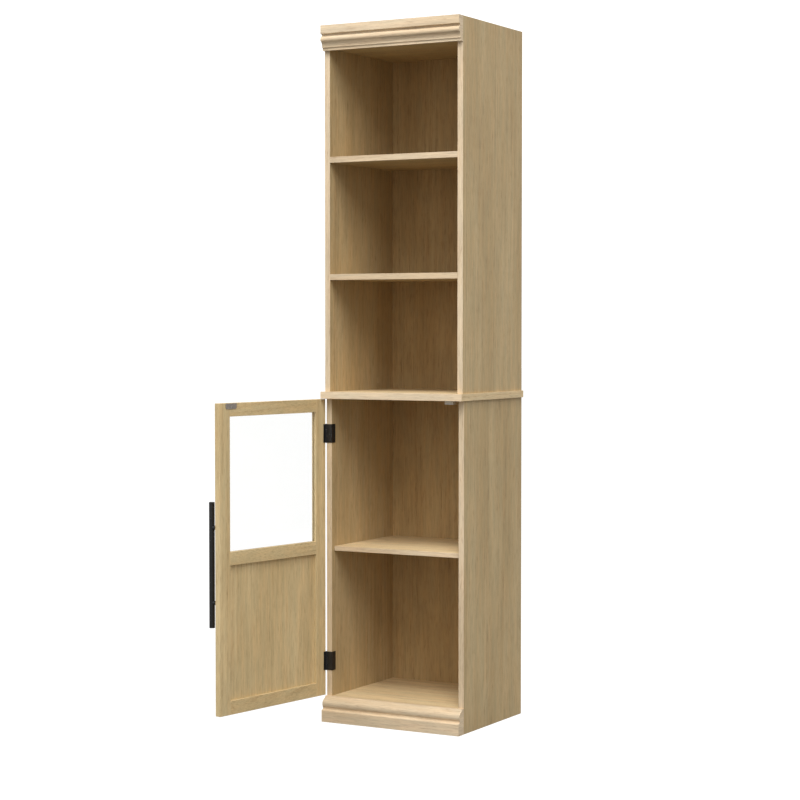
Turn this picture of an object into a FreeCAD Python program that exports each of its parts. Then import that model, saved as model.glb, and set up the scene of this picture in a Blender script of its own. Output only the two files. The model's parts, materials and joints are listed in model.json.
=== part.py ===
import FreeCAD, Part
import os

"""Tall pantry cabinet in two stacked sections, with one hinged door below and open shelves above.

Row frame, in millimetres: X runs across the cabinet with its centre line at 0, Y is 0 on the wall
plane behind it and negative towards the front, and Z is 0 on the floor. The door is laid out shut
and then swung open about its hinge pins, because the cabinet's rest state has the door open.
"""

V = FreeCAD.Vector
X_AXIS, Y_AXIS, Z_AXIS = V(1, 0, 0), V(0, 1, 0), V(0, 0, 1)

# Cabinet
WIDTH = 398.8
DEPTH = 355.6
HEIGHT = 1785.6
BOARD = 15.0
EASE = 0.4
HALF = WIDTH / 2
INNER = HALF - BOARD

# Section depths, front to back
CROWN_PROUD = 21.3
UPPER_FRONT = -(DEPTH - CROWN_PROUD)
LOWER_FRONT = -326.7

# Counter board between the two sections
COUNTER_TOP = 851.5
COUNTER_BOARD = 18.0
COUNTER_SIDE_OVERHANG = 5.1
COUNTER_FRONT = -349.7
COUNTER_UNDER = COUNTER_TOP - COUNTER_BOARD

# Levels of the fixed boards' undersides
TOP_PANEL_UNDER = 1727.6
SHELF_HIGH_UNDER = 1437.5
SHELF_LOW_UNDER = 1137.8
BASE_TOP = 64.7
BOTTOM_UNDER = BASE_TOP - BOARD

# Removable shelf in the lower section
LOOSE_SHELF_UNDER = 440.0
LOOSE_SHELF_BOARD = 12.0
LOOSE_SHELF_SETBACK = 12.0
LOOSE_SHELF_PLAY = 0.5
PIN_DIAMETER = 5.0

# Thin back panels, slid into grooves in the sides
BACK_BOARD = 3.0
BACK_FACE = -7.0
BACK_REAR = BACK_FACE + BACK_BOARD
GROOVE_DEPTH = 6.0
GROOVE_PLAY = 0.1
NAIL_SPACING = 130.0

# Knock-down fittings
CAM_DIAMETER = 15.0
CAM_HEIGHT = 12.0
CAM_REACH = 24.0
CAM_BORE = 8.5
BOLT_SHANK = 5.0
BOLT_THREAD = 6.0
BOLT_THREAD_LENGTH = 9.0
BOLT_HEAD = 7.5
COVER_DIAMETER = 17.0
COVER_THICKNESS = 0.3
DOWEL_DIAMETER = 8.0
DOWEL_IN_FACE = 9.0
DOWEL_IN_END = 18.0
CAM_FROM_FRONT = 60.0
CAM_FROM_BACK = 50.0
DOWEL_FROM_CAM = 35.0
MOULDING_CAM_X = 110.0
FIT_PLAY = 0.05

# Door, stated shut
DOOR_GAP = 1.5
DOOR_BACK = LOWER_FRONT - 3.0
DOOR_BOARD = 16.0
DOOR_FRONT = DOOR_BACK - DOOR_BOARD
DOOR_LEFT = -199.0
DOOR_WIDTH = 397.0
DOOR_RIGHT = DOOR_LEFT + DOOR_WIDTH
DOOR_LOW = BASE_TOP + DOOR_GAP
DOOR_HIGH = COUNTER_UNDER - DOOR_GAP
STILE = 37.0
TOP_RAIL = 33.0
BOTTOM_RAIL = 34.0
MID_RAIL_LOW = 434.0
MID_RAIL_HIGH = 467.0
PANE = 4.0
PANE_SETBACK = 5.0
PANE_GROOVE = 8.0
PANE_PLAY = 0.1
PANE_CATCH = 7.0

# Hinges
OPEN_ANGLE = 99.0
HINGE_X = -200.2
HINGE_Y = (LOWER_FRONT + DOOR_BACK) / 2
HINGE_HEIGHT = 48.0
HINGE_FROM_END = 88.5
HINGE_METAL = 1.2
HINGE_WING = 18.0
HINGE_DOOR_LEAF = 8.0
KNUCKLE_RADIUS = 1.9
KNUCKLE_END = 14.0
KNUCKLE_GAP = 0.25
PIN_RADIUS = 1.0
PIN_PLAY = 0.05
PIN_HEAD = 0.7

# Handle
HANDLE_FROM_EDGE = 18.5
HANDLE_STANDOFF = 28.0
HANDLE_DIAMETER = 14.0
HANDLE_LENGTH = 310.0
HANDLE_MIDDLE = 434.0
HANDLE_CENTRES = 185.0
POST_DIAMETER = 10.0
POST_SPIGOT = 6.0
STUD_DIAMETER = 4.0
STUD_IN_DOOR = 12.0
STUD_IN_POST = 12.0

# Magnetic catch and its strike plate
CATCH_X = 157.0
CATCH_WIDTH = 24.0
CATCH_DEPTH = 30.0
CATCH_HEIGHT = 9.3
CATCH_WALL = 1.2
MAGNET_DEPTH = 16.0
POLE_METAL = 1.2
POLE_PROUD = 0.5
STRIKE_METAL = 1.0
STRIKE_WIDTH = 39.0
STRIKE_HEIGHT = 14.0

nodes = {}


def board(x, y, z, ease=EASE):
    """A rectangular board between pairs of limits, with all its edges eased."""
    size = [high - low for low, high in (x, y, z)]
    box = Part.makeBox(*size, V(x[0], y[0], z[0]))
    return box.makeChamfer(ease, box.Edges) if ease else box


def rod(start, direction, diameter, length):
    return Part.makeCylinder(diameter / 2, length, start, direction)


def around(middle, width):
    return (middle - width / 2, middle + width / 2)


def sweep_across(outline, x_low, x_high):
    """A moulding: a closed outline in the Y-Z plane, run across the cabinet."""
    face = Part.Face(Part.Wire(Part.__sortEdges__(outline)))
    face.translate(V(x_low, 0, 0))
    return face.extrude(V(x_high - x_low, 0, 0))


def cut_from(names, tools):
    for name in names:
        nodes[name] = nodes[name].cut(tools)


def screw(seat, direction, head_diameter, shank_diameter, head_height, length):
    """A flat-head screw: seat is on the face its head is flush with, direction is into the work."""
    head = Part.makeCone(head_diameter / 2, shank_diameter / 2, head_height, seat, direction)
    neck = seat + direction * head_height
    shank = rod(neck, direction, shank_diameter, length - head_height - shank_diameter)
    tip_start = neck + direction * (length - head_height - shank_diameter)
    tip = Part.makeCone(shank_diameter / 2, 0.2, shank_diameter, tip_start, direction)
    slot = board((-head_diameter, head_diameter), (-0.4, 0.4), (-0.5, 0.5), 0)
    slot.Placement = FreeCAD.Placement(seat, FreeCAD.Rotation(Z_AXIS, direction))
    return head.fuse([shank, tip]).removeSplitter().cut(slot)


def screw_hole(seat, direction, head_diameter, shank_diameter, head_height, length):
    """The same screw without its slot and a little larger: what is cut from the boards it holds."""
    grown = 2 * FIT_PLAY
    head = Part.makeCone(
        head_diameter / 2 + FIT_PLAY, shank_diameter / 2 + FIT_PLAY, head_height, seat, direction
    )
    shank = rod(seat, direction, shank_diameter + grown, length + grown)
    return head.fuse(shank)


# ---------------------------------------------------------------- boards of the two sections
def side_panels():
    for side, sign in (("left", -1), ("right", 1)):
        x = tuple(sorted((sign * HALF, sign * INNER)))
        nodes[f"upper_{side}_side"] = board(x, (UPPER_FRONT, 0), (COUNTER_TOP, HEIGHT))
        nodes[f"lower_{side}_side"] = board(x, (LOWER_FRONT, 0), (0, COUNTER_UNDER))


def inner_panels():
    x = (-INNER, INNER)
    upper = (UPPER_FRONT, BACK_FACE)
    lower = (LOWER_FRONT, BACK_FACE)
    for name, depth, under in (
        ("upper_top_panel", upper, TOP_PANEL_UNDER),
        ("upper_shelf_high", upper, SHELF_HIGH_UNDER),
        ("upper_shelf_low", upper, SHELF_LOW_UNDER),
        ("lower_bottom_panel", lower, BOTTOM_UNDER),
    ):
        nodes[name] = board(x, depth, (under, under + BOARD))
    reach = INNER - LOOSE_SHELF_PLAY
    nodes["lower_shelf"] = board(
        (-reach, reach),
        (LOWER_FRONT + LOOSE_SHELF_SETBACK, BACK_FACE - LOOSE_SHELF_PLAY),
        (LOOSE_SHELF_UNDER, LOOSE_SHELF_UNDER + LOOSE_SHELF_BOARD),
    )
    over = HALF + COUNTER_SIDE_OVERHANG
    nodes["counter_top"] = board((-over, over), (COUNTER_FRONT, 0), (COUNTER_UNDER, COUNTER_TOP))
    nodes["rear_base_rail"] = board(x, (-BOARD, 0), (0, BOTTOM_UNDER), 0)


def back_panels():
    """Each back slides in grooves. The upper one runs on up behind the recess over the top panel."""
    tongue = INNER + GROOVE_DEPTH - 2 * GROOVE_PLAY
    deep = INNER + GROOVE_DEPTH
    slot = (BACK_FACE - GROOVE_PLAY, BACK_REAR + GROOVE_PLAY)
    for section, low, high, groove_end in (
        ("upper", COUNTER_TOP, HEIGHT - EASE, HEIGHT + 1),
        ("lower", BOTTOM_UNDER, COUNTER_UNDER, COUNTER_UNDER),
    ):
        panel = board((-tongue, tongue), (BACK_FACE, BACK_REAR), (low, high), 0)
        nodes[f"{section}_back_panel"] = panel
        groove = board((-deep, deep), slot, (low, groove_end), 0)
        cut_from([f"{section}_left_side", f"{section}_right_side"], groove)


# ---------------------------------------------------------------- mouldings
def crown_moulding():
    """Crown strip, from the top down: flat fascia, quirk, bead, cove and bottom fillet."""

    def at(proud, drop):
        return V(0, UPPER_FRONT - proud, HEIGHT - drop)

    foot = HEIGHT - 63.3
    fascia = CROWN_PROUD
    outline = [
        Part.makeLine(at(0, 0), at(fascia, 0)),
        Part.makeLine(at(fascia, 0), at(fascia, 21)),
        Part.makeLine(at(fascia, 21), at(14.5, 23)),
        Part.makeLine(at(14.5, 23), at(14.5, 27)),
        Part.Arc(at(14.5, 27), at(20.8, 32.5), at(19.4, 41)).toShape(),
        Part.makeLine(at(19.4, 41), at(17.6, 41.6)),
        Part.Arc(at(17.6, 41.6), at(13.6, 48), at(12.6, 56)).toShape(),
        Part.makeLine(at(12.6, 56), at(9.8, 56.6)),
        Part.makeLine(at(9.8, 56.6), V(0, UPPER_FRONT - 9.8, foot)),
        Part.makeLine(V(0, UPPER_FRONT - 9.8, foot), V(0, UPPER_FRONT, foot)),
        Part.makeLine(V(0, UPPER_FRONT, foot), at(0, 0)),
    ]
    nodes["crown_moulding"] = sweep_across(outline, -HALF, HALF)


def base_moulding():
    """Base strip, from the floor up: square block, quirk, bulge and an ogee back to the front."""

    def at(proud, height):
        return V(0, LOWER_FRONT - proud, height)

    outline = [
        Part.makeLine(at(0, 0), at(27.5, 0)),
        Part.makeLine(at(27.5, 0), at(27.5, 27)),
        Part.Arc(at(27.5, 27), at(26.4, 30.4), at(23.4, 31.6)).toShape(),
        Part.makeLine(at(23.4, 31.6), at(20.4, 32.4)),
        Part.makeLine(at(20.4, 32.4), at(19.9, 36)),
        Part.Arc(at(19.9, 36), at(22.6, 40.6), at(23.4, 46)).toShape(),
        Part.Arc(at(23.4, 46), at(21.4, 53), at(15.6, 57.6)).toShape(),
        Part.Arc(at(15.6, 57.6), at(11, 60.6), at(8.3, BASE_TOP)).toShape(),
        Part.makeLine(at(8.3, BASE_TOP), at(0, BASE_TOP)),
        Part.makeLine(at(0, BASE_TOP), at(0, 0)),
    ]
    nodes["base_moulding"] = sweep_across(outline, -HALF, HALF)


# ---------------------------------------------------------------- knock-down fittings
class Fittings:
    """Collects each kind of fitting as separate solids while it drills the boards for them."""

    def __init__(self):
        self.bolts = []
        self.cams = []
        self.covers = []
        self.dowels = []

    def cam_joint(self, point, into, normal, thickness, host, panel):
        """Joins panel's edge to host's face. point is on the joint, halfway through the panel, into
        points along the panel away from host, and normal from its mid-plane to its cam's face."""
        thread = rod(point - into * BOLT_THREAD_LENGTH, into, BOLT_THREAD, BOLT_THREAD_LENGTH)
        shank = rod(point, into, BOLT_SHANK, CAM_REACH)
        head = rod(point + into * (CAM_REACH - 2), into, BOLT_HEAD, 4)
        self.bolts.append(thread.fuse([shank, head]).removeSplitter())
        mouth = point + into * CAM_REACH + normal * (thickness / 2)
        bore = rod(point, into, CAM_BORE, CAM_REACH + 4)
        cam = rod(mouth, normal * -1, CAM_DIAMETER - 2 * FIT_PLAY, CAM_HEIGHT)
        drive = board((-4, 4), (-0.8, 0.8), (-1.5, 1.5), 0)
        drive.Placement = FreeCAD.Placement(mouth, FreeCAD.Rotation(Z_AXIS, normal))
        self.cams.append(cam.cut([rod(point, into, CAM_BORE, 40), drive]))
        self.covers.append(rod(mouth, normal, COVER_DIAMETER, COVER_THICKNESS))
        pocket = rod(mouth, normal * -1, CAM_DIAMETER, CAM_HEIGHT + FIT_PLAY)
        cut_from([panel], [bore, pocket])
        hole = rod(point - into * (BOLT_THREAD_LENGTH + 1), into, BOLT_THREAD + 2 * FIT_PLAY, 20)
        cut_from([host], hole)

    def dowel(self, point, into, host, panel, in_end=DOWEL_IN_END):
        start = point - into * DOWEL_IN_FACE
        length = DOWEL_IN_FACE + in_end
        peg = rod(start, into, DOWEL_DIAMETER, length)
        self.dowels.append(peg.makeChamfer(0.8, [e for e in peg.Edges if e.Closed]))
        spare = 0.5
        hole = rod(start - into * spare, into, DOWEL_DIAMETER + 2 * FIT_PLAY, length + 2 * spare)
        cut_from([host, panel], hole)


def join_inner_panels(fittings):
    """Cams and dowels at both ends of each fixed board."""
    for panel, section, front, under, face in (
        ("upper_top_panel", "upper", UPPER_FRONT, TOP_PANEL_UNDER, 1),
        ("upper_shelf_high", "upper", UPPER_FRONT, SHELF_HIGH_UNDER, -1),
        ("upper_shelf_low", "upper", UPPER_FRONT, SHELF_LOW_UNDER, -1),
        ("lower_bottom_panel", "lower", LOWER_FRONT, BOTTOM_UNDER, -1),
    ):
        z = under + BOARD / 2
        for side, sign in (("left", -1), ("right", 1)):
            host = f"{section}_{side}_side"
            into = X_AXIS * -sign
            for y, inward in ((front + CAM_FROM_FRONT, 1), (BACK_FACE - CAM_FROM_BACK, -1)):
                cam_point = V(sign * INNER, y, z)
                fittings.cam_joint(cam_point, into, Z_AXIS * face, BOARD, host, panel)
                fittings.dowel(cam_point + Y_AXIS * inward * DOWEL_FROM_CAM, into, host, panel)


def join_counter(fittings):
    """The sides stand on and under the counter board, so their cams are in their inner faces."""
    for side, sign in (("left", -1), ("right", 1)):
        x = sign * (INNER + BOARD / 2)
        inward = X_AXIS * -sign
        for section, z, up, first in (
            ("upper", COUNTER_TOP, 1, 85),
            ("lower", COUNTER_UNDER, -1, 50),
        ):
            panel = f"{section}_{side}_side"
            into = Z_AXIS * up
            for y in (LOWER_FRONT + first, -first):
                point = V(x, y, z)
                fittings.cam_joint(point, into, inward, BOARD, "counter_top", panel)
            for y in (LOWER_FRONT + first + 70, -first - 70):
                fittings.dowel(V(x, y, z), into, "counter_top", panel)


def join_mouldings(fittings):
    """Each moulding is pulled on by two cams in the board behind it and lined up by two dowels."""
    for x in (-MOULDING_CAM_X, MOULDING_CAM_X):
        crown = V(x, UPPER_FRONT, TOP_PANEL_UNDER + BOARD / 2)
        fittings.cam_joint(crown, Y_AXIS, Z_AXIS, BOARD, "crown_moulding", "upper_top_panel")
        base = V(x, LOWER_FRONT, BOTTOM_UNDER + BOARD / 2)
        fittings.cam_joint(base, Y_AXIS, Z_AXIS * -1, BOARD, "base_moulding", "lower_bottom_panel")
    for side, sign in (("left", -1), ("right", 1)):
        x = sign * (INNER + BOARD / 2)
        crown = V(x, UPPER_FRONT, HEIGHT - 12)
        fittings.dowel(crown, Y_AXIS, "crown_moulding", f"upper_{side}_side")
        base = V(x, LOWER_FRONT, 18)
        fittings.dowel(base, Y_AXIS, "base_moulding", f"lower_{side}_side")


def join_rear_rail(fittings):
    for side, sign in (("left", -1), ("right", 1)):
        for z in (13, 37):
            point = V(sign * INNER, -BOARD / 2, z)
            fittings.dowel(point, X_AXIS * -sign, f"lower_{side}_side", "rear_base_rail")


def back_nails():
    """Small headed nails through the back panels into the rear edges of the fixed boards."""
    shank_diameter, length, head_diameter, head = 1.4, 16.0, 3.4, 0.6
    nails = []
    for panel, through, levels in (
        (
            "upper_back_panel",
            ["upper_top_panel", "upper_shelf_high", "upper_shelf_low"],
            [TOP_PANEL_UNDER, SHELF_HIGH_UNDER, SHELF_LOW_UNDER],
        ),
        ("lower_back_panel", ["lower_bottom_panel"], [BOTTOM_UNDER]),
    ):
        for name, under in zip(through, levels):
            for x in (-NAIL_SPACING, 0, NAIL_SPACING):
                seat = V(x, BACK_REAR, under + BOARD / 2)
                shank = rod(seat, Y_AXIS * -1, shank_diameter, length)
                nails.append(shank.fuse(rod(seat, Y_AXIS, head_diameter, head)).removeSplitter())
                hole = rod(seat, Y_AXIS * -1, shank_diameter + 2 * FIT_PLAY, length + 0.5)
                cut_from([panel, name], hole)
    nodes["back_nails"] = Part.makeCompound(nails)


def shelf_pins():
    """Four steel pegs under the loose shelf, pushed into blind holes in the sides."""
    pegs = []
    in_side, out = 8.0, 9.0
    z = LOOSE_SHELF_UNDER - PIN_DIAMETER / 2
    for side, sign in (("left", -1), ("right", 1)):
        for y in (LOWER_FRONT + 50, -45):
            start = V(sign * (INNER + in_side), y, z)
            into = X_AXIS * -sign
            peg = rod(start, into, PIN_DIAMETER, in_side + out)
            pegs.append(peg.makeChamfer(0.6, [e for e in peg.Edges if e.Closed]))
            hole = rod(start - into * 0.5, into, PIN_DIAMETER + 2 * FIT_PLAY, in_side + out)
            cut_from([f"lower_{side}_side"], hole)
    nodes["shelf_pins"] = Part.makeCompound(pegs)


# ---------------------------------------------------------------- door
def pane_space(x, z, play=0):
    """The space that a pane or a tongue takes in the door's frame, play wider on each face."""
    front = DOOR_FRONT + PANE_SETBACK
    return board(x, (front - play, front + PANE + play), z, 0)


def door_frame():
    """Two stiles grooved all along, and three rails whose end tongues sit in the grooves."""
    inner_left = DOOR_LEFT + STILE
    inner_right = DOOR_RIGHT - STILE
    thick = (DOOR_FRONT, DOOR_BACK)
    height = (DOOR_LOW, DOOR_HIGH)
    deep = PANE_GROOVE
    groove = pane_space((inner_left - deep, inner_right + deep), height, PANE_PLAY)
    nodes["door_hinge_stile"] = board((DOOR_LEFT, inner_left), thick, height).cut(groove)
    nodes["door_latch_stile"] = board((inner_right, DOOR_RIGHT), thick, height).cut(groove)

    tongue = PANE_CATCH
    for name, low, high, slots in (
        ("door_top_rail", DOOR_HIGH - TOP_RAIL, DOOR_HIGH, (0,)),
        ("door_mid_rail", MID_RAIL_LOW, MID_RAIL_HIGH, (0, 1)),
        ("door_bottom_rail", DOOR_LOW, DOOR_LOW + BOTTOM_RAIL, (1,)),
    ):
        rail = board((inner_left, inner_right), thick, (low, high))
        ends = pane_space((inner_left - tongue, inner_right + tongue), (low + EASE, high - EASE))
        rail = rail.fuse(ends).removeSplitter()
        for top in slots:
            z = (high - deep, high) if top else (low, low + deep)
            rail = rail.cut(pane_space((inner_left - deep, inner_right + deep), z, PANE_PLAY))
        nodes[name] = rail


def door_panes():
    """Clear glass above the middle rail and a wood panel below it, both held in the grooves."""
    x = (DOOR_LEFT + STILE - PANE_CATCH, DOOR_RIGHT - STILE + PANE_CATCH)
    glass_z = (MID_RAIL_HIGH - PANE_CATCH, DOOR_HIGH - TOP_RAIL + PANE_CATCH)
    panel_z = (DOOR_LOW + BOTTOM_RAIL - PANE_CATCH, MID_RAIL_LOW + PANE_CATCH)
    nodes["door_glass"] = pane_space(x, glass_z)
    nodes["door_lower_panel"] = pane_space(x, panel_z)


def handle():
    """A round bar on two posts. Each post is screwed onto a stud set in the door's front, so that
    nothing shows on the door's back."""
    x = DOOR_RIGHT - HANDLE_FROM_EDGE
    axis_y = DOOR_FRONT - HANDLE_STANDOFF
    low = HANDLE_MIDDLE - HANDLE_LENGTH / 2
    bar = rod(V(x, axis_y, low), Z_AXIS, HANDLE_DIAMETER, HANDLE_LENGTH)
    full_bar = bar.copy()
    bar = bar.makeChamfer(0.6, [e for e in bar.Edges if e.Closed])
    outward = Y_AXIS * -1
    spigot_end = HANDLE_STANDOFF - HANDLE_DIAMETER / 2 + 4
    posts = []
    studs = []
    for z in around(HANDLE_MIDDLE, HANDLE_CENTRES):
        root = V(x, DOOR_FRONT, z)
        post = rod(root, outward, POST_DIAMETER, HANDLE_STANDOFF).cut(full_bar)
        post = post.fuse(rod(root, outward, POST_SPIGOT, spigot_end)).removeSplitter()
        socket = rod(root, outward, POST_SPIGOT + 2 * FIT_PLAY, spigot_end + FIT_PLAY)
        bar = bar.cut(socket)
        inner_end = root - outward * STUD_IN_DOOR
        length = STUD_IN_DOOR + STUD_IN_POST
        stud = rod(inner_end, outward, STUD_DIAMETER, length)
        studs.append(stud.makeChamfer(0.5, [e for e in stud.Edges if e.Closed]))
        hole = rod(inner_end - outward * 0.5, outward, STUD_DIAMETER + 2 * FIT_PLAY, length + 1)
        posts.append(post.cut(hole))
        cut_from(["door_latch_stile"], hole)
    nodes["handle_bar"] = bar
    nodes["handle_posts"] = Part.makeCompound(posts)
    nodes["handle_studs"] = Part.makeCompound(studs)


# ---------------------------------------------------------------- hinges
def knuckle(z_low, z_high):
    return rod(V(HINGE_X, HINGE_Y, z_low), Z_AXIS, 2 * KNUCKLE_RADIUS, z_high - z_low)


def hinges():
    """Two wrap-around hinges: a leaf bent round the side panel's front edge, a leaf flat on the
    door's back, and a pin through their knuckles."""
    frame_screws = []
    door_screws = []
    clear = KNUCKLE_RADIUS + 0.3
    wrap = (LOWER_FRONT - HINGE_METAL, LOWER_FRONT)
    flat = (DOOR_BACK, DOOR_BACK + HINGE_METAL)
    wing_x = (-INNER, -INNER + HINGE_METAL)
    for place, middle in (
        ("upper", DOOR_HIGH - HINGE_FROM_END),
        ("lower", DOOR_LOW + HINGE_FROM_END),
    ):
        low, high = around(middle, HINGE_HEIGHT)
        bore_start = V(HINGE_X, HINGE_Y, low - 1)
        bore = rod(bore_start, Z_AXIS, 2 * (PIN_RADIUS + PIN_PLAY), HINGE_HEIGHT + 2)

        front = board((HINGE_X + clear, wing_x[1]), wrap, (low, high), 0)
        wing = board(wing_x, (wrap[0], wrap[0] + HINGE_WING), (low, high), 0)
        leaf = front.fuse(wing).removeSplitter()
        bend = [
            e
            for e in leaf.Edges
            if abs(e.CenterOfMass.x - wing_x[1]) < 0.01 and abs(e.CenterOfMass.y - wrap[0]) < 0.01
        ]
        leaf = leaf.makeFillet(1.0, bend)
        for span in ((low, low + KNUCKLE_END), (high - KNUCKLE_END, high)):
            strap = board((HINGE_X, HINGE_X + clear), wrap, span, 0)
            leaf = leaf.fuse([strap, knuckle(*span)])
        leaf = leaf.removeSplitter().cut(bore)

        door_leaf = board((HINGE_X + clear, DOOR_LEFT + HINGE_DOOR_LEAF), flat, (low, high), 0)
        span = (low + KNUCKLE_END + KNUCKLE_GAP, high - KNUCKLE_END - KNUCKLE_GAP)
        strap = board((HINGE_X, HINGE_X + clear), flat, span, 0)
        door_leaf = door_leaf.fuse([strap, knuckle(*span)]).removeSplitter().cut(bore)

        for z in around(middle, HINGE_HEIGHT - 20):
            seat = V(wing_x[1], wrap[0] + HINGE_WING - 7, z)
            shape = (6.0, 3.0, HINGE_METAL, 12.0)
            frame_screws.append(screw(seat, X_AXIS * -1, *shape))
            hole = screw_hole(seat, X_AXIS * -1, *shape)
            leaf = leaf.cut(hole)
            cut_from(["lower_left_side"], hole)
            seat = V((HINGE_X + clear + DOOR_LEFT + HINGE_DOOR_LEAF) / 2, flat[1], z)
            shape = (5.4, 2.8, HINGE_METAL, 12.0)
            door_screws.append(screw(seat, Y_AXIS * -1, *shape))
            hole = screw_hole(seat, Y_AXIS * -1, *shape)
            door_leaf = door_leaf.cut(hole)
            cut_from(["door_hinge_stile"], hole)

        pin_low = low - PIN_PLAY - PIN_HEAD
        pin_length = HINGE_HEIGHT + 2 * (PIN_PLAY + PIN_HEAD)
        pin = rod(V(HINGE_X, HINGE_Y, pin_low), Z_AXIS, 2 * PIN_RADIUS, pin_length)
        heads = [
            rod(V(HINGE_X, HINGE_Y, z), Z_AXIS, 2 * PIN_RADIUS + 1.2, PIN_HEAD)
            for z in (pin_low, high + PIN_PLAY)
        ]
        nodes[f"{place}_hinge_pin"] = pin.fuse(heads).removeSplitter()
        nodes[f"{place}_hinge_frame_leaf"] = leaf
        nodes[f"{place}_hinge_door_leaf"] = door_leaf
    nodes["hinge_frame_screws"] = Part.makeCompound(frame_screws)
    nodes["hinge_door_screws"] = Part.makeCompound(door_screws)


# ---------------------------------------------------------------- catch
def magnetic_catch():
    """A moulded case under the counter, open at its top, with a magnet between two steel pole
    plates whose front edges come through its front and pull on a strike plate on the door."""
    strike_face = DOOR_BACK + STRIKE_METAL
    pole_front = strike_face + 0.2
    case_front = pole_front + POLE_PROUD
    under = COUNTER_UNDER - CATCH_HEIGHT
    case = board(
        around(CATCH_X, CATCH_WIDTH),
        (case_front, case_front + CATCH_DEPTH),
        (under, COUNTER_UNDER),
        0,
    )
    corners = [
        e for e in case.Edges if abs(e.CenterOfMass.z - (under + CATCH_HEIGHT / 2)) < 0.01
    ]
    case = case.makeFillet(2.0, corners)
    pocket_front = case_front + CATCH_WALL
    pocket_y = (pocket_front, pocket_front + MAGNET_DEPTH)
    floor = under + CATCH_WALL
    case = case.cut(board(around(CATCH_X, 18), pocket_y, (floor, COUNTER_UNDER + 1), 0))
    poles = []
    for z in (floor + 0.05, COUNTER_UNDER - 0.15 - POLE_METAL):
        pole_z = (z, z + POLE_METAL)
        poles.append(board(around(CATCH_X, 15), (pole_front, pocket_y[1] - 0.1), pole_z, 0))
        slot_z = (pole_z[0] - 0.05, pole_z[1] + 0.05)
        case = case.cut(board(around(CATCH_X, 15.2), (case_front - 1, pocket_front), slot_z, 0))
    magnet_y = (pocket_front + 0.1, pocket_y[1] - 0.1)
    magnet_z = (poles[0].BoundBox.ZMax, poles[1].BoundBox.ZMin)
    nodes["catch_magnet"] = board(around(CATCH_X, 17), magnet_y, magnet_z, 0)
    nodes["catch_poles"] = Part.makeCompound(poles)

    screws = []
    for x in around(CATCH_X, 12):
        seat = V(x, case_front + CATCH_DEPTH - 6, under)
        shape = (5.6, 3.0, 1.6, 20.0)
        screws.append(screw(seat, Z_AXIS, *shape))
        hole = screw_hole(seat, Z_AXIS, *shape)
        case = case.cut(hole)
        cut_from(["counter_top"], hole)
    nodes["catch_screws"] = Part.makeCompound(screws)
    nodes["catch_case"] = case

    high = DOOR_HIGH - 0.6
    strike = board(
        around(CATCH_X, STRIKE_WIDTH), (DOOR_BACK, strike_face), (high - STRIKE_HEIGHT, high), 0
    )
    lower_corners = [
        e
        for e in strike.Edges
        if abs(e.CenterOfMass.z - (high - STRIKE_HEIGHT)) < 0.01
        and abs(abs(e.CenterOfMass.x - CATCH_X) - STRIKE_WIDTH / 2) < 0.01
    ]
    strike = strike.makeFillet(5.0, lower_corners)
    seat = V(CATCH_X, strike_face, high - STRIKE_HEIGHT + 4.2)
    shape = (5.0, 2.8, STRIKE_METAL, 12.0)
    hole = screw_hole(seat, Y_AXIS * -1, *shape)
    nodes["strike_screw"] = screw(seat, Y_AXIS * -1, *shape)
    nodes["strike_plate"] = strike.cut(hole)
    cut_from(["door_top_rail"], hole)


# ---------------------------------------------------------------- assembly
DOOR_NODES = [
    "door_hinge_stile",
    "door_latch_stile",
    "door_top_rail",
    "door_mid_rail",
    "door_bottom_rail",
    "door_glass",
    "door_lower_panel",
    "handle_bar",
    "handle_posts",
    "handle_studs",
    "upper_hinge_door_leaf",
    "lower_hinge_door_leaf",
    "hinge_door_screws",
    "strike_plate",
    "strike_screw",
]


def swing_door_open():
    for name in DOOR_NODES:
        nodes[name].rotate(V(HINGE_X, HINGE_Y, 0), Z_AXIS, -OPEN_ANGLE)


def build():
    side_panels()
    inner_panels()
    back_panels()
    crown_moulding()
    base_moulding()

    fittings = Fittings()
    join_inner_panels(fittings)
    join_counter(fittings)
    join_mouldings(fittings)
    join_rear_rail(fittings)
    nodes["cam_bolts"] = Part.makeCompound(fittings.bolts)
    nodes["cam_nuts"] = Part.makeCompound(fittings.cams)
    nodes["cam_covers"] = Part.makeCompound(fittings.covers)
    nodes["dowels"] = Part.makeCompound(fittings.dowels)
    back_nails()
    shelf_pins()

    door_frame()
    door_panes()
    handle()
    hinges()
    magnetic_catch()
    swing_door_open()

    os.makedirs("parts", exist_ok=True)
    for name, shape in nodes.items():
        shape.exportStep(f"parts/{name}.step")


build()
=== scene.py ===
import json
import math
import random

import bpy
from mathutils import Matrix, Vector

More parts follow.
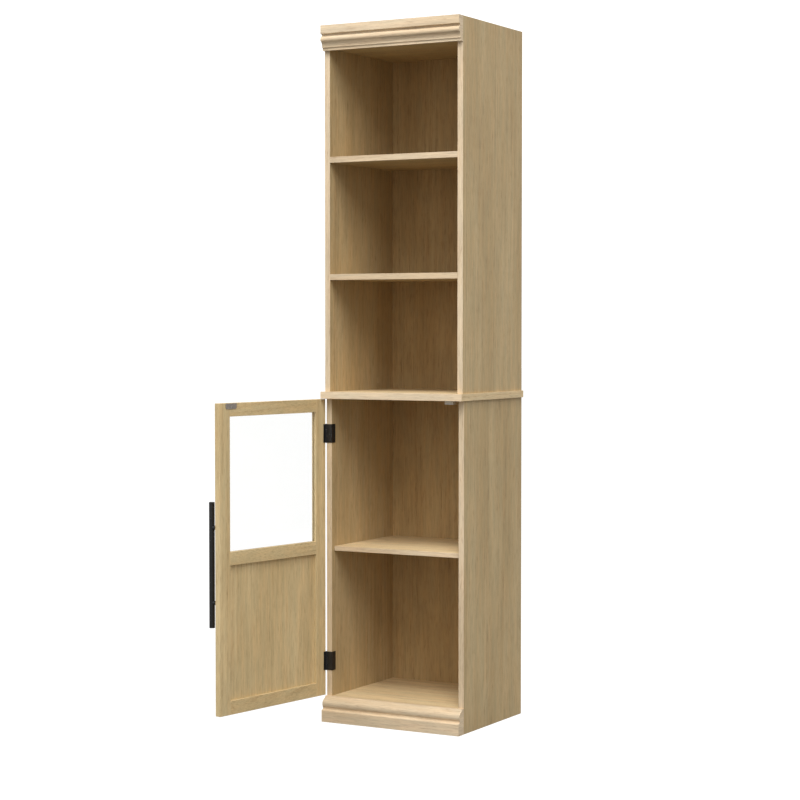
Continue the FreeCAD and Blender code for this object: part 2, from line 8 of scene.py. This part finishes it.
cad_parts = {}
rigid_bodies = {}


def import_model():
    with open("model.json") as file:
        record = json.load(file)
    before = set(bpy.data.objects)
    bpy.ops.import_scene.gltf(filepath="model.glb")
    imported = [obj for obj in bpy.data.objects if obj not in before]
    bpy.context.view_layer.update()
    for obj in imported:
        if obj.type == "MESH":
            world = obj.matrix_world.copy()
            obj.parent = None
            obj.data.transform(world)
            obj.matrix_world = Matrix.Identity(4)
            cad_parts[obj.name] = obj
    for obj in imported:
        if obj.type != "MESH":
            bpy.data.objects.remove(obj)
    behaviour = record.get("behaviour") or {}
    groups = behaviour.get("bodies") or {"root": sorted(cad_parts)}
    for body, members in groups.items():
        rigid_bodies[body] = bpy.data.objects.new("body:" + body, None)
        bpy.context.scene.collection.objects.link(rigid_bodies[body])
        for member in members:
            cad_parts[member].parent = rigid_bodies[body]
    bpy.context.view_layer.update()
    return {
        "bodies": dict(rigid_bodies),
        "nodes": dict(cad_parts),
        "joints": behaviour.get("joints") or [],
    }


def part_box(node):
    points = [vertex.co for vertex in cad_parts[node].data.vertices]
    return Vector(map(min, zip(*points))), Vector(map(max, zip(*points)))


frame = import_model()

# How far the door turns, from its rest place, to be shut: its grain is laid out with it shut.
SHUT_TURN = math.radians(frame["joints"][0]["range_deg"][1])

# Camera: where the cabinet is seen from, the way it looks, its lens in mm, and how far it sees
CAMERA_AT = Vector((2.580, -4.903, 1.021))
CAMERA_YAW = math.radians(29.25)
CAMERA_PITCH = math.radians(2.05)
CAMERA_LENS = 93.5
CAMERA_SIGHT = 60

# The point in the cabinet that the softboxes aim at, and how far from it they stand
SOFTBOX_AIM = Vector((0, -0.2, 1.3))
SOFTBOX_FAR = 7.0

# The sky's strength as a light, and the strength at which sky and floor come out plain white. The
# glow's share is how much of the floor's look is that white, and the reach is half the floor's width
SKY_LIGHT = 0.72
PLAIN_WHITE = 1.25
FLOOR_GLOW_SHARE = 0.86
FLOOR_REACH = 40.0

# Albedo of the oak foil, from its palest stretches to its darkest dashes, how much warmer some
# patches are, and how much paler the front-facing faces and the mouldings are painted, as painted
# light for the stronger light that falls on them
OAK_PALE = (0.580, 0.448, 0.256, 1)
OAK_MID = (0.510, 0.380, 0.205, 1)
OAK_DARK = (0.400, 0.268, 0.134, 1)
OAK_PORE = (0.275, 0.170, 0.078, 1)
WARMTH = (1.03, 0.985, 0.95, 1)
PAINTED_LIGHT_GAIN = (1.31, 1.39, 1.70, 1)

# How finely each layer of the oak's figure varies, per metre: across the grain twice, and along it
WANDER = (9, 9, 0.35)
RIPPLE = (70, 70, 4)
FADE = (26, 26, 7)
DASHES = (430, 430, 34)
HAIRS = (900, 900, 24)
FIBRES = (620, 620, 12)
BROAD = (14, 14, 1.6)
MOTTLE = (60, 60, 9)

# Growth lines: about how many there are to a metre of radius, how far the heart slants for each
# metre along the grain, and how far the wander and the ripple push a line aside
LINE_SCALE = 130.0
HEART_SLANT = 0.012
WANDER_PUSH = 0.06
RIPPLE_PUSH = 0.003

# How far the growth lines darken the foil towards OAK_DARK, and the pores towards OAK_PORE
LINE_DEPTH = 0.42
PORE_DEPTH = 0.55

# How far the tree's heart lies from the middle of a board, each way across the grain, and how far
# along the grain the board's stretch of figure may lie. The first board draws from the first seed
HEART_NEAR, HEART_FAR = 0.02, 0.10
STRETCH_REACH = 3
FIRST_SEED = 11

# A face is one of the grain's ends if its normal has more than this of the grain's direction, and a
# front face, painted paler as painted light, if its normal has more than this of -Y
END_FACE = 0.8
FRONT_FACE = 0.5

# From one rib of the strike plate to the next
RIB_PITCH = 0.0032

# The range that most of a noise texture's values lie in
NOISE_LOW, NOISE_HIGH = 0.3, 0.7


# ---------------------------------------------------------------- node helpers
class Graph:
    """Short names for building a node tree."""

    def __init__(self, tree):
        self.tree = tree

    def node(self, kind, inputs=None, **settings):
        made = self.tree.nodes.new(kind)
        for key, value in settings.items():
            setattr(made, key, value)
        for key, value in (inputs or {}).items():
            self.feed(made.inputs[key], value)
        return made

    def feed(self, socket, value):
        if isinstance(value, bpy.types.NodeSocket):
            self.tree.links.new(value, socket)
        else:
            socket.default_value = value

    def math(self, operation, *values):
        made = self.node("ShaderNodeMath", operation=operation)
        for socket, value in zip(made.inputs, values):
            self.feed(socket, value)
        return made.outputs[0]

    def vector_math(self, operation, *values):
        made = self.node("ShaderNodeVectorMath", operation=operation)
        for socket, value in zip(made.inputs, values):
            self.feed(socket, value)
        return made.outputs["Value" if operation == "LENGTH" else "Vector"]

    def stretch(self, vector, finer):
        """The place that a texture is read at, so that it varies finer along some axes."""
        return self.vector_math("MULTIPLY", vector, finer)

    def noise(self, vector, detail, roughness=0.5, scale=1.0):
        made = self.node(
            "ShaderNodeTexNoise",
            {"Vector": vector, "Scale": scale, "Detail": detail, "Roughness": roughness},
        )
        return made.outputs["Fac"]

    def remap(self, value, low, high, to_low=0.0, to_high=1.0):
        made = self.node(
            "ShaderNodeMapRange",
            {"Value": value, "From Min": low, "From Max": high, "To Min": to_low, "To Max": to_high},
        )
        return made.outputs["Result"]

    def vary(self, noise, low=0.0, high=1.0):
        """A noise spread over low to high."""
        return self.remap(noise, NOISE_LOW, NOISE_HIGH, low, high)

    # The Mix node has sockets of the same name for each kind of data, so they go by number
    def mix(self, factor, a, b, blend="MIX"):
        made = self.node("ShaderNodeMix", data_type="RGBA", blend_type=blend)
        self.feed(made.inputs[0], factor)
        self.feed(made.inputs[6], a)
        self.feed(made.inputs[7], b)
        return made.outputs[2]

    def mix_vector(self, factor, a, b):
        made = self.node("ShaderNodeMix", data_type="VECTOR")
        self.feed(made.inputs[0], factor)
        self.feed(made.inputs[4], a)
        self.feed(made.inputs[5], b)
        return made.outputs[1]


def material(name):
    """A new node material: its graph, its Principled shader, and the material."""
    made = bpy.data.materials.new(name)
    made.use_nodes = True
    graph = Graph(made.node_tree)
    return graph, made.node_tree.nodes["Principled BSDF"], made


def bump(graph, shader, height, distance, strength):
    made = graph.node("ShaderNodeBump", {"Height": height, "Distance": distance, "Strength": strength})
    graph.feed(shader.inputs["Normal"], made.outputs["Normal"])


def group_socket(group, name, kind, way):
    group.interface.new_socket(name=name, in_out=way, socket_type=kind)


# ---------------------------------------------------------------- oak
def oak_figure():
    """Node group: the oak's colour, roughness and height at a point whose Z runs along the grain
    and whose X and Y are measured from the tree's heart. Tint multiplies the foil's colour, and
    the third input, when 1, puts a paler colour in place of the foil's: painted light on front-facing
    faces and the mouldings."""
    group = bpy.data.node_groups.new("oak_figure", "ShaderNodeTree")
    group_socket(group, "Grain", "NodeSocketVector", "INPUT")
    group_socket(group, "Tint", "NodeSocketColor", "INPUT")
    group_socket(group, "PaintedLight", "NodeSocketFloat", "INPUT")
    group_socket(group, "Color", "NodeSocketColor", "OUTPUT")
    group_socket(group, "Roughness", "NodeSocketFloat", "OUTPUT")
    group_socket(group, "Height", "NodeSocketFloat", "OUTPUT")
    g = Graph(group)
    source = g.node("NodeGroupInput")
    grain = source.outputs["Grain"]

    # Growth lines: irregular rings round a heart that slants through the board, wandering a little
    part = g.node("ShaderNodeSeparateXYZ", {"Vector": grain})
    slant = g.math("MULTIPLY", part.outputs["Z"], HEART_SLANT)
    ring_place = g.node(
        "ShaderNodeCombineXYZ",
        {
            "X": g.math("ADD", part.outputs["X"], slant),
            "Y": g.math("SUBTRACT", part.outputs["Y"], slant),
        },
    ).outputs[0]
    radius = g.vector_math("LENGTH", ring_place)
    wander = g.noise(g.stretch(grain, WANDER), detail=2)
    ripple = g.noise(g.stretch(grain, RIPPLE), detail=2)
    bent = g.math("ADD", radius, g.math("MULTIPLY", wander, WANDER_PUSH))
    bent = g.math("ADD", bent, g.math("MULTIPLY", ripple, RIPPLE_PUSH))
    lines = g.node(
        "ShaderNodeTexNoise",
        {"W": bent, "Scale": LINE_SCALE, "Detail": 3.0, "Roughness": 0.6},
        noise_dimensions="1D",
    ).outputs["Fac"]
    fade = g.noise(g.stretch(grain, FADE), detail=2)
    ring = g.math("MULTIPLY", g.remap(lines, 0.56, 0.36), g.remap(fade, 0.38, 0.62, 0.2, 1.0))

    # Dashes and hairs are dark pores, and the dashes are stronger in the growth lines. Fibres are
    # fine streaks, a little paler or darker than the foil
    dashes = g.noise(g.stretch(grain, DASHES), detail=2, roughness=0.6)
    hairs = g.noise(g.stretch(grain, HAIRS), detail=1)
    fibres = g.noise(g.stretch(grain, FIBRES), detail=3, roughness=0.6)
    dash = g.math("MULTIPLY", g.remap(dashes, 0.53, 0.68), g.remap(ring, 0.0, 0.6, 0.6, 1.0))
    pores = g.math("MAXIMUM", dash, g.math("MULTIPLY", g.remap(hairs, 0.56, 0.70), 0.5))
    broad = g.noise(g.stretch(grain, BROAD), detail=2)
    mottle = g.noise(g.stretch(grain, MOTTLE), detail=2)

    colour = g.mix(g.remap(broad, 0.38, 0.62), OAK_PALE, OAK_MID)
    colour = g.mix(g.math("MULTIPLY", ring, LINE_DEPTH), colour, OAK_DARK)
    colour = g.mix(g.math("MULTIPLY", pores, PORE_DEPTH), colour, OAK_PORE)
    shade = g.vary(fibres, 0.90, 1.10)
    shade = g.math("MULTIPLY", shade, g.vary(mottle, 0.95, 1.05))
    grey = g.node("ShaderNodeCombineColor", {"Red": shade, "Green": shade, "Blue": shade})
    colour = g.mix(1.0, colour, grey.outputs["Color"], "MULTIPLY")
    warm = g.mix(1.0, colour, WARMTH, "MULTIPLY")
    colour = g.mix(g.remap(mottle, 0.35, 0.65), colour, warm)
    foil = g.mix(1.0, colour, source.outputs["Tint"], "MULTIPLY")
    # Painted light: a paler copy of the colour, worn in place of the foil on front-facing faces and on
    # the mouldings
    painted_light_colour = g.mix(1.0, colour, PAINTED_LIGHT_GAIN, "MULTIPLY")
    colour = g.mix(source.outputs["PaintedLight"], foil, painted_light_colour)

    height = g.math("SUBTRACT", g.math("MULTIPLY", fibres, 0.4), pores)
    rough = g.math("ADD", g.vary(fibres, 0.48, 0.58), g.math("MULTIPLY", pores, 0.12))
    sink = g.node("NodeGroupOutput")
    g.feed(sink.inputs["Color"], colour)
    g.feed(sink.inputs["Roughness"], rough)
    g.feed(sink.inputs["Height"], height)
    return group


def oak(node, figure_group, grain, seed, tint, painted_light_faces):
    """Oak foil whose grain runs along the X or Z axis, with its own stretch of the figure.

    The figure is turned on the faces at the grain's ends, which show foil or edge strip, not end
    grain.
    The last argument paints light: front makes a board's front-facing faces paler, all makes a whole
    moulding paler, and None leaves the foil as it is."""
    g, shader, made = material(f"oak_{node}")
    coordinates = g.node("ShaderNodeTexCoord")
    place, normal = coordinates.outputs["Object"], coordinates.outputs["Normal"]
    low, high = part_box(node)
    centre = (Vector(low) + Vector(high)) / 2
    if node in frame["bodies"]["door"]:
        turned = []
        for vector in (place, normal):
            rotate = g.node("ShaderNodeVectorRotate", {"Vector": vector, "Angle": SHUT_TURN})
            turned.append(rotate.outputs["Vector"])
        place, normal = turned
        centre.rotate(Matrix.Rotation(SHUT_TURN, 3, "Z"))
    x, y, z = g.node("ShaderNodeSeparateXYZ", {"Vector": place}).outputs
    spot = random.Random(seed)
    heart = [spot.choice((-1, 1)) * spot.uniform(HEART_NEAR, HEART_FAR) for _ in range(2)]
    heart.append(spot.uniform(-STRETCH_REACH, STRETCH_REACH))
    # The two axes across the grain, and then the one along it
    axes = {"X": (1, 2, 0), "Z": (0, 1, 2)}[grain]
    shift = [heart[i] - centre[axis] for i, axis in enumerate(axes)]
    along = g.node("ShaderNodeCombineXYZ", dict(zip("XYZ", [(x, y, z)[axis] for axis in axes])))
    turned_figure = g.node("ShaderNodeCombineXYZ", {"X": z, "Y": x, "Z": y})
    faces = g.node("ShaderNodeSeparateXYZ", {"Vector": normal})
    is_end = g.math("GREATER_THAN", g.math("ABSOLUTE", faces.outputs[grain]), END_FACE)
    shifted = g.vector_math("ADD", along.outputs[0], shift)
    where = g.mix_vector(is_end, shifted, turned_figure.outputs[0])
    figure = g.node("ShaderNodeGroup", node_tree=figure_group)
    g.feed(figure.inputs["Grain"], where)
    figure.inputs["Tint"].default_value = (*tint, 1)
    # Painted light: the front-facing faces, or all of a moulding, are painted paler
    if painted_light_faces == "front":
        g.feed(figure.inputs["PaintedLight"], g.math("LESS_THAN", faces.outputs["Y"], -FRONT_FACE))
    elif painted_light_faces == "all":
        figure.inputs["PaintedLight"].default_value = 1.0
    g.feed(shader.inputs["Base Color"], figure.outputs["Color"])
    g.feed(shader.inputs["Roughness"], figure.outputs["Roughness"])
    shader.inputs["Specular IOR Level"].default_value = 0.35
    bump(g, shader, figure.outputs["Height"], 0.00010, 0.5)
    return made


# ---------------------------------------------------------------- other materials
def black_metal(name):
    """Satin black powder coat: a faint orange peel and dusty variation in its sheen."""
    g, shader, made = material(name)
    place = g.node("ShaderNodeTexCoord").outputs["Object"]
    peel = g.noise(place, detail=2, scale=1400)
    dust = g.noise(place, detail=4, scale=60)
    colour = g.mix(g.vary(dust), (0.006, 0.006, 0.006, 1), (0.010, 0.010, 0.010, 1))
    g.feed(shader.inputs["Base Color"], colour)
    g.feed(shader.inputs["Roughness"], g.vary(dust, 0.34, 0.46))
    shader.inputs["Specular IOR Level"].default_value = 0.6
    bump(g, shader, peel, 0.00004, 0.4)
    return made


def steel(name, colour_a, colour_b, rough=(0.28, 0.42)):
    """Plated steel with fine drawn lines and blotches in the plating."""
    g, shader, made = material(name)
    place = g.node("ShaderNodeTexCoord").outputs["Object"]
    blotch = g.noise(place, detail=4, scale=220)
    drawn = g.noise(g.stretch(place, (3000, 3000, 90)), detail=2)
    g.feed(shader.inputs["Base Color"], g.mix(g.vary(blotch), colour_a, colour_b))
    g.feed(shader.inputs["Roughness"], g.vary(drawn, *rough))
    shader.inputs["Metallic"].default_value = 1.0
    bump(g, shader, drawn, 0.00002, 0.4)
    return made


def clear_glass(name):
    """Float glass with a trace of green and faint wiping marks."""
    g, shader, made = material(name)
    place = g.node("ShaderNodeTexCoord").outputs["Object"]
    wiped = g.noise(g.stretch(place, (9, 9, 26)), detail=5, roughness=0.6)
    tint = g.mix(g.vary(wiped), (0.980, 0.990, 0.986, 1), (0.990, 0.997, 0.994, 1))
    g.feed(shader.inputs["Base Color"], tint)
    g.feed(shader.inputs["Roughness"], g.remap(wiped, 0.45, 0.75, 0.0, 0.035))
    shader.inputs["IOR"].default_value = 1.45
    shader.inputs["Transmission Weight"].default_value = 1.0
    return made


def moulded_plastic(name):
    """Ivory plastic with a fine spark-eroded texture."""
    g, shader, made = material(name)
    place = g.node("ShaderNodeTexCoord").outputs["Object"]
    pits = g.noise(place, detail=3, scale=2600)
    cloud = g.noise(place, detail=3, scale=90)
    colour = g.mix(g.vary(cloud), (0.66, 0.60, 0.50, 1), (0.72, 0.66, 0.56, 1))
    g.feed(shader.inputs["Base Color"], colour)
    g.feed(shader.inputs["Roughness"], g.vary(pits, 0.44, 0.6))
    bump(g, shader, pits, 0.00005, 0.5)
    return made


def ferrite(name):
    """Dark pressed magnet material, slightly grainy."""
    g, shader, made = material(name)
    place = g.node("ShaderNodeTexCoord").outputs["Object"]
    grit = g.noise(place, detail=4, scale=1800)
    g.feed(shader.inputs["Base Color"], g.mix(grit, (0.02, 0.02, 0.022, 1), (0.07, 0.07, 0.075, 1)))
    g.feed(shader.inputs["Roughness"], g.vary(grit, 0.55, 0.8))
    bump(g, shader, grit, 0.00008, 0.6)
    return made


def ribbed_strike(name):
    """Grey strike plate with fine upright ribs pressed into its face, painted shade in the ribs'
    grooves, and grime on it.
    """
    g, shader, made = material(name)
    place = g.node("ShaderNodeTexCoord").outputs["Object"]
    rotate = g.node("ShaderNodeVectorRotate", {"Vector": place, "Angle": SHUT_TURN})
    split = g.node("ShaderNodeSeparateXYZ", {"Vector": rotate.outputs["Vector"]})
    rib = g.math("SINE", g.math("MULTIPLY", split.outputs["X"], 2 * math.pi / RIB_PITCH))
    grime = g.noise(place, detail=4, scale=400)
    colour = g.mix(g.vary(grime), (0.48, 0.44, 0.41, 1), (0.58, 0.54, 0.50, 1))
    # Painted shade: the colour darkens towards near black in the ribs' grooves
    colour = g.mix(g.remap(rib, -1.0, -0.2, 0.7, 0.0), colour, (0.12, 0.11, 0.10, 1))
    g.feed(shader.inputs["Base Color"], colour)
    g.feed(shader.inputs["Roughness"], g.vary(grime, 0.38, 0.55))
    shader.inputs["Metallic"].default_value = 0.75
    bump(g, shader, rib, 0.0002, 0.6)
    return made


def beech(name):
    """Bare beech: close, straight grain along X with short dark flecks."""
    g, shader, made = material(name)
    place = g.node("ShaderNodeTexCoord").outputs["Object"]
    flecks = g.noise(g.stretch(place, (300, 900, 900)), detail=3)
    cloud = g.noise(place, detail=3, scale=70)
    colour = g.mix(g.vary(cloud), (0.60, 0.40, 0.22, 1), (0.68, 0.48, 0.28, 1))
    colour = g.mix(g.remap(flecks, 0.58, 0.74, 0.0, 0.5), colour, (0.36, 0.21, 0.10, 1))
    g.feed(shader.inputs["Base Color"], colour)
    g.feed(shader.inputs["Roughness"], g.vary(flecks, 0.6, 0.75))
    bump(g, shader, flecks, 0.0001, 0.5)
    return made


# ---------------------------------------------------------------- which node wears what
def dress(node, made):
    """Gives a node one material, in place of any it came with."""
    obj = frame["nodes"][node]
    obj.data.materials.clear()
    obj.data.materials.append(made)


def dress_oak():
    """Each board gets its own stretch of figure: grain upright or along X, a tint, and which faces
    are painted paler as painted light. The tint paints light onto some boards and shade onto others."""
    figure_group = oak_figure()
    # Tints: the side and upper shelf tints stay near the foil's own colour. The tints for the counter,
    # the lower shelf, the bottom panel and the door are painted light, making them paler; the tint for
    # the back panels and the rear base rail is painted shade, darker and more saturated, as deep in
    # the bays.
    side, shelf, painted_light_tops = (1.0, 1.0, 0.96), (0.98, 0.98, 0.92), (1.34, 1.38, 1.44)
    back, door = (0.92, 0.85, 0.72), (1.24, 1.28, 1.25)
    boards = (
        ("upper_left_side", "Z", side, "front"),
        ("upper_right_side", "Z", side, "front"),
        ("lower_left_side", "Z", side, "front"),
        ("lower_right_side", "Z", side, "front"),
        ("upper_back_panel", "Z", back, None),
        ("lower_back_panel", "Z", back, None),
        ("upper_top_panel", "X", shelf, "front"),
        ("upper_shelf_high", "X", shelf, "front"),
        ("upper_shelf_low", "X", shelf, "front"),
        ("counter_top", "X", painted_light_tops, "front"),
        ("lower_shelf", "X", painted_light_tops, "front"),
        ("lower_bottom_panel", "X", painted_light_tops, "front"),
        ("rear_base_rail", "X", back, None),
        ("crown_moulding", "X", side, "all"),
        ("base_moulding", "X", side, "all"),
        ("cam_covers", "Z", side, None),
        ("door_hinge_stile", "Z", door, None),
        ("door_latch_stile", "Z", door, None),
        ("door_top_rail", "X", door, None),
        ("door_mid_rail", "X", door, None),
        ("door_bottom_rail", "X", door, None),
        ("door_lower_panel", "Z", door, None),
    )
    for seed, (node, grain, tint, painted_light_faces) in enumerate(boards, FIRST_SEED):
        dress(node, oak(node, figure_group, grain, seed, tint, painted_light_faces))


def dress_fittings():
    """Metal, plastic, magnet, dowels and glass: one material for each kind."""
    black = black_metal("black_powder_coat")
    for node in ("handle_bar", "handle_posts", "hinge_frame_screws", "hinge_door_screws"):
        dress(node, black)
    for place in ("upper", "lower"):
        for part in ("frame_leaf", "door_leaf", "pin"):
            dress(f"{place}_hinge_{part}", black)
    zinc = steel("zinc_plate", (0.62, 0.63, 0.64, 1), (0.74, 0.74, 0.72, 1))
    dress("strike_screw", zinc)
    for node in ("cam_bolts", "cam_nuts", "back_nails", "shelf_pins", "catch_poles", "catch_screws"):
        dress(node, zinc)
    dark_steel = steel("blackened_steel", (0.07, 0.07, 0.07, 1), (0.11, 0.11, 0.11, 1), (0.35, 0.5))
    dress("handle_studs", dark_steel)
    dress("strike_plate", ribbed_strike("strike_steel"))
    dress("catch_case", moulded_plastic("ivory_plastic"))
    dress("catch_magnet", ferrite("ferrite"))
    dress("dowels", beech("beech"))
    dress("door_glass", clear_glass("clear_glass"))


# ---------------------------------------------------------------- stage
def seen_directly(g):
    """1 for rays from the camera and rays that come through glass, 0 for all other light."""
    path = g.node("ShaderNodeLightPath").outputs
    return g.math("MAXIMUM", path["Is Camera Ray"], path["Is Transmission Ray"])


def floor():
    """A wide floor. The camera sees it plain white, while it throws back only about a fifth of the
    light that falls on it, as a grey floor does."""
    mesh = bpy.data.meshes.new("studio_floor")
    reach = FLOOR_REACH
    corners = [(-reach, -reach, 0), (reach, -reach, 0), (reach, reach, 0), (-reach, reach, 0)]
    mesh.from_pydata(corners, [], [(0, 1, 2, 3)])
    obj = bpy.data.objects.new("studio_floor", mesh)
    bpy.context.scene.collection.objects.link(obj)
    g, shader, made = material("studio_floor")
    cloud = g.noise(g.node("ShaderNodeTexCoord").outputs["Object"], detail=3, scale=1.3)
    colour = g.mix(g.vary(cloud), (0.19, 0.19, 0.185, 1), (0.21, 0.21, 0.205, 1))
    g.feed(shader.inputs["Base Color"], colour)
    shader.inputs["Roughness"].default_value = 0.8
    shader.inputs["Specular IOR Level"].default_value = 0.0
    glow = g.node("ShaderNodeEmission", {"Color": (1, 1, 1, 1), "Strength": PLAIN_WHITE})
    share = g.math("MULTIPLY", seen_directly(g), FLOOR_GLOW_SHARE)
    both = g.node("ShaderNodeMixShader")
    g.feed(both.inputs[0], share)
    g.feed(both.inputs[1], shader.outputs["BSDF"])
    g.feed(both.inputs[2], glow.outputs["Emission"])
    g.feed(made.node_tree.nodes["Material Output"].inputs["Surface"], both.outputs["Shader"])
    mesh.materials.append(made)


def softbox(name, turn, rise, size, strength):
    """A square softbox in front of the cabinet, size metres wide. turn is degrees to the right of
    straight ahead and rise is degrees above level. strength sets how brightly it lights the cabinet,
    whatever its size and distance."""
    data = bpy.data.lights.new(name, "AREA")
    data.shape = "SQUARE"
    data.size = size
    data.energy = math.pi * SOFTBOX_FAR**2 * strength
    turn, rise = math.radians(turn), math.radians(rise)
    level = math.cos(rise)
    towards = Vector((math.sin(turn) * level, -math.cos(turn) * level, math.sin(rise)))
    obj = bpy.data.objects.new(name, data)
    obj.location = SOFTBOX_AIM + SOFTBOX_FAR * towards
    obj.rotation_mode = "QUATERNION"
    obj.rotation_quaternion = (-towards).to_track_quat("-Z", "Y")
    bpy.context.scene.collection.objects.link(obj)


def lights():
    """A key from the right, a second light higher up beside it, and a fill from the left. The sky
    adds an even light all round."""
    softbox("key", turn=34, rise=40, size=3.0, strength=1.10)
    softbox("high", turn=26, rise=60, size=2.0, strength=1.60)
    softbox("fill", turn=-38, rise=42, size=3.4, strength=0.70)


def sky():
    """White surroundings: plain white as seen, weaker as a light."""
    world = bpy.data.worlds.new("studio")
    bpy.context.scene.world = world
    world.use_nodes = True
    g = Graph(world.node_tree)
    background = world.node_tree.nodes["Background"]
    background.inputs["Color"].default_value = (1, 1, 1, 1)
    g.feed(background.inputs["Strength"], g.remap(seen_directly(g), 0.0, 1.0, SKY_LIGHT, PLAIN_WHITE))


def camera():
    """The photograph's view, level from side to side."""
    data = bpy.data.cameras.new("camera")
    data.lens = CAMERA_LENS
    data.clip_end = CAMERA_SIGHT
    obj = bpy.data.objects.new("camera", data)
    obj.location = CAMERA_AT
    level = math.cos(CAMERA_PITCH)
    look = Vector((
        -math.sin(CAMERA_YAW) * level,
        math.cos(CAMERA_YAW) * level,
        -math.sin(CAMERA_PITCH),
    ))
    obj.rotation_mode = "QUATERNION"
    obj.rotation_quaternion = look.to_track_quat("-Z", "Y")
    bpy.context.scene.collection.objects.link(obj)
    bpy.context.scene.camera = obj


dress_oak()
dress_fittings()
floor()
lights()
sky()
camera()
bpy.context.scene.view_settings.view_transform = "Standard"

bpy.context.view_layer.update()
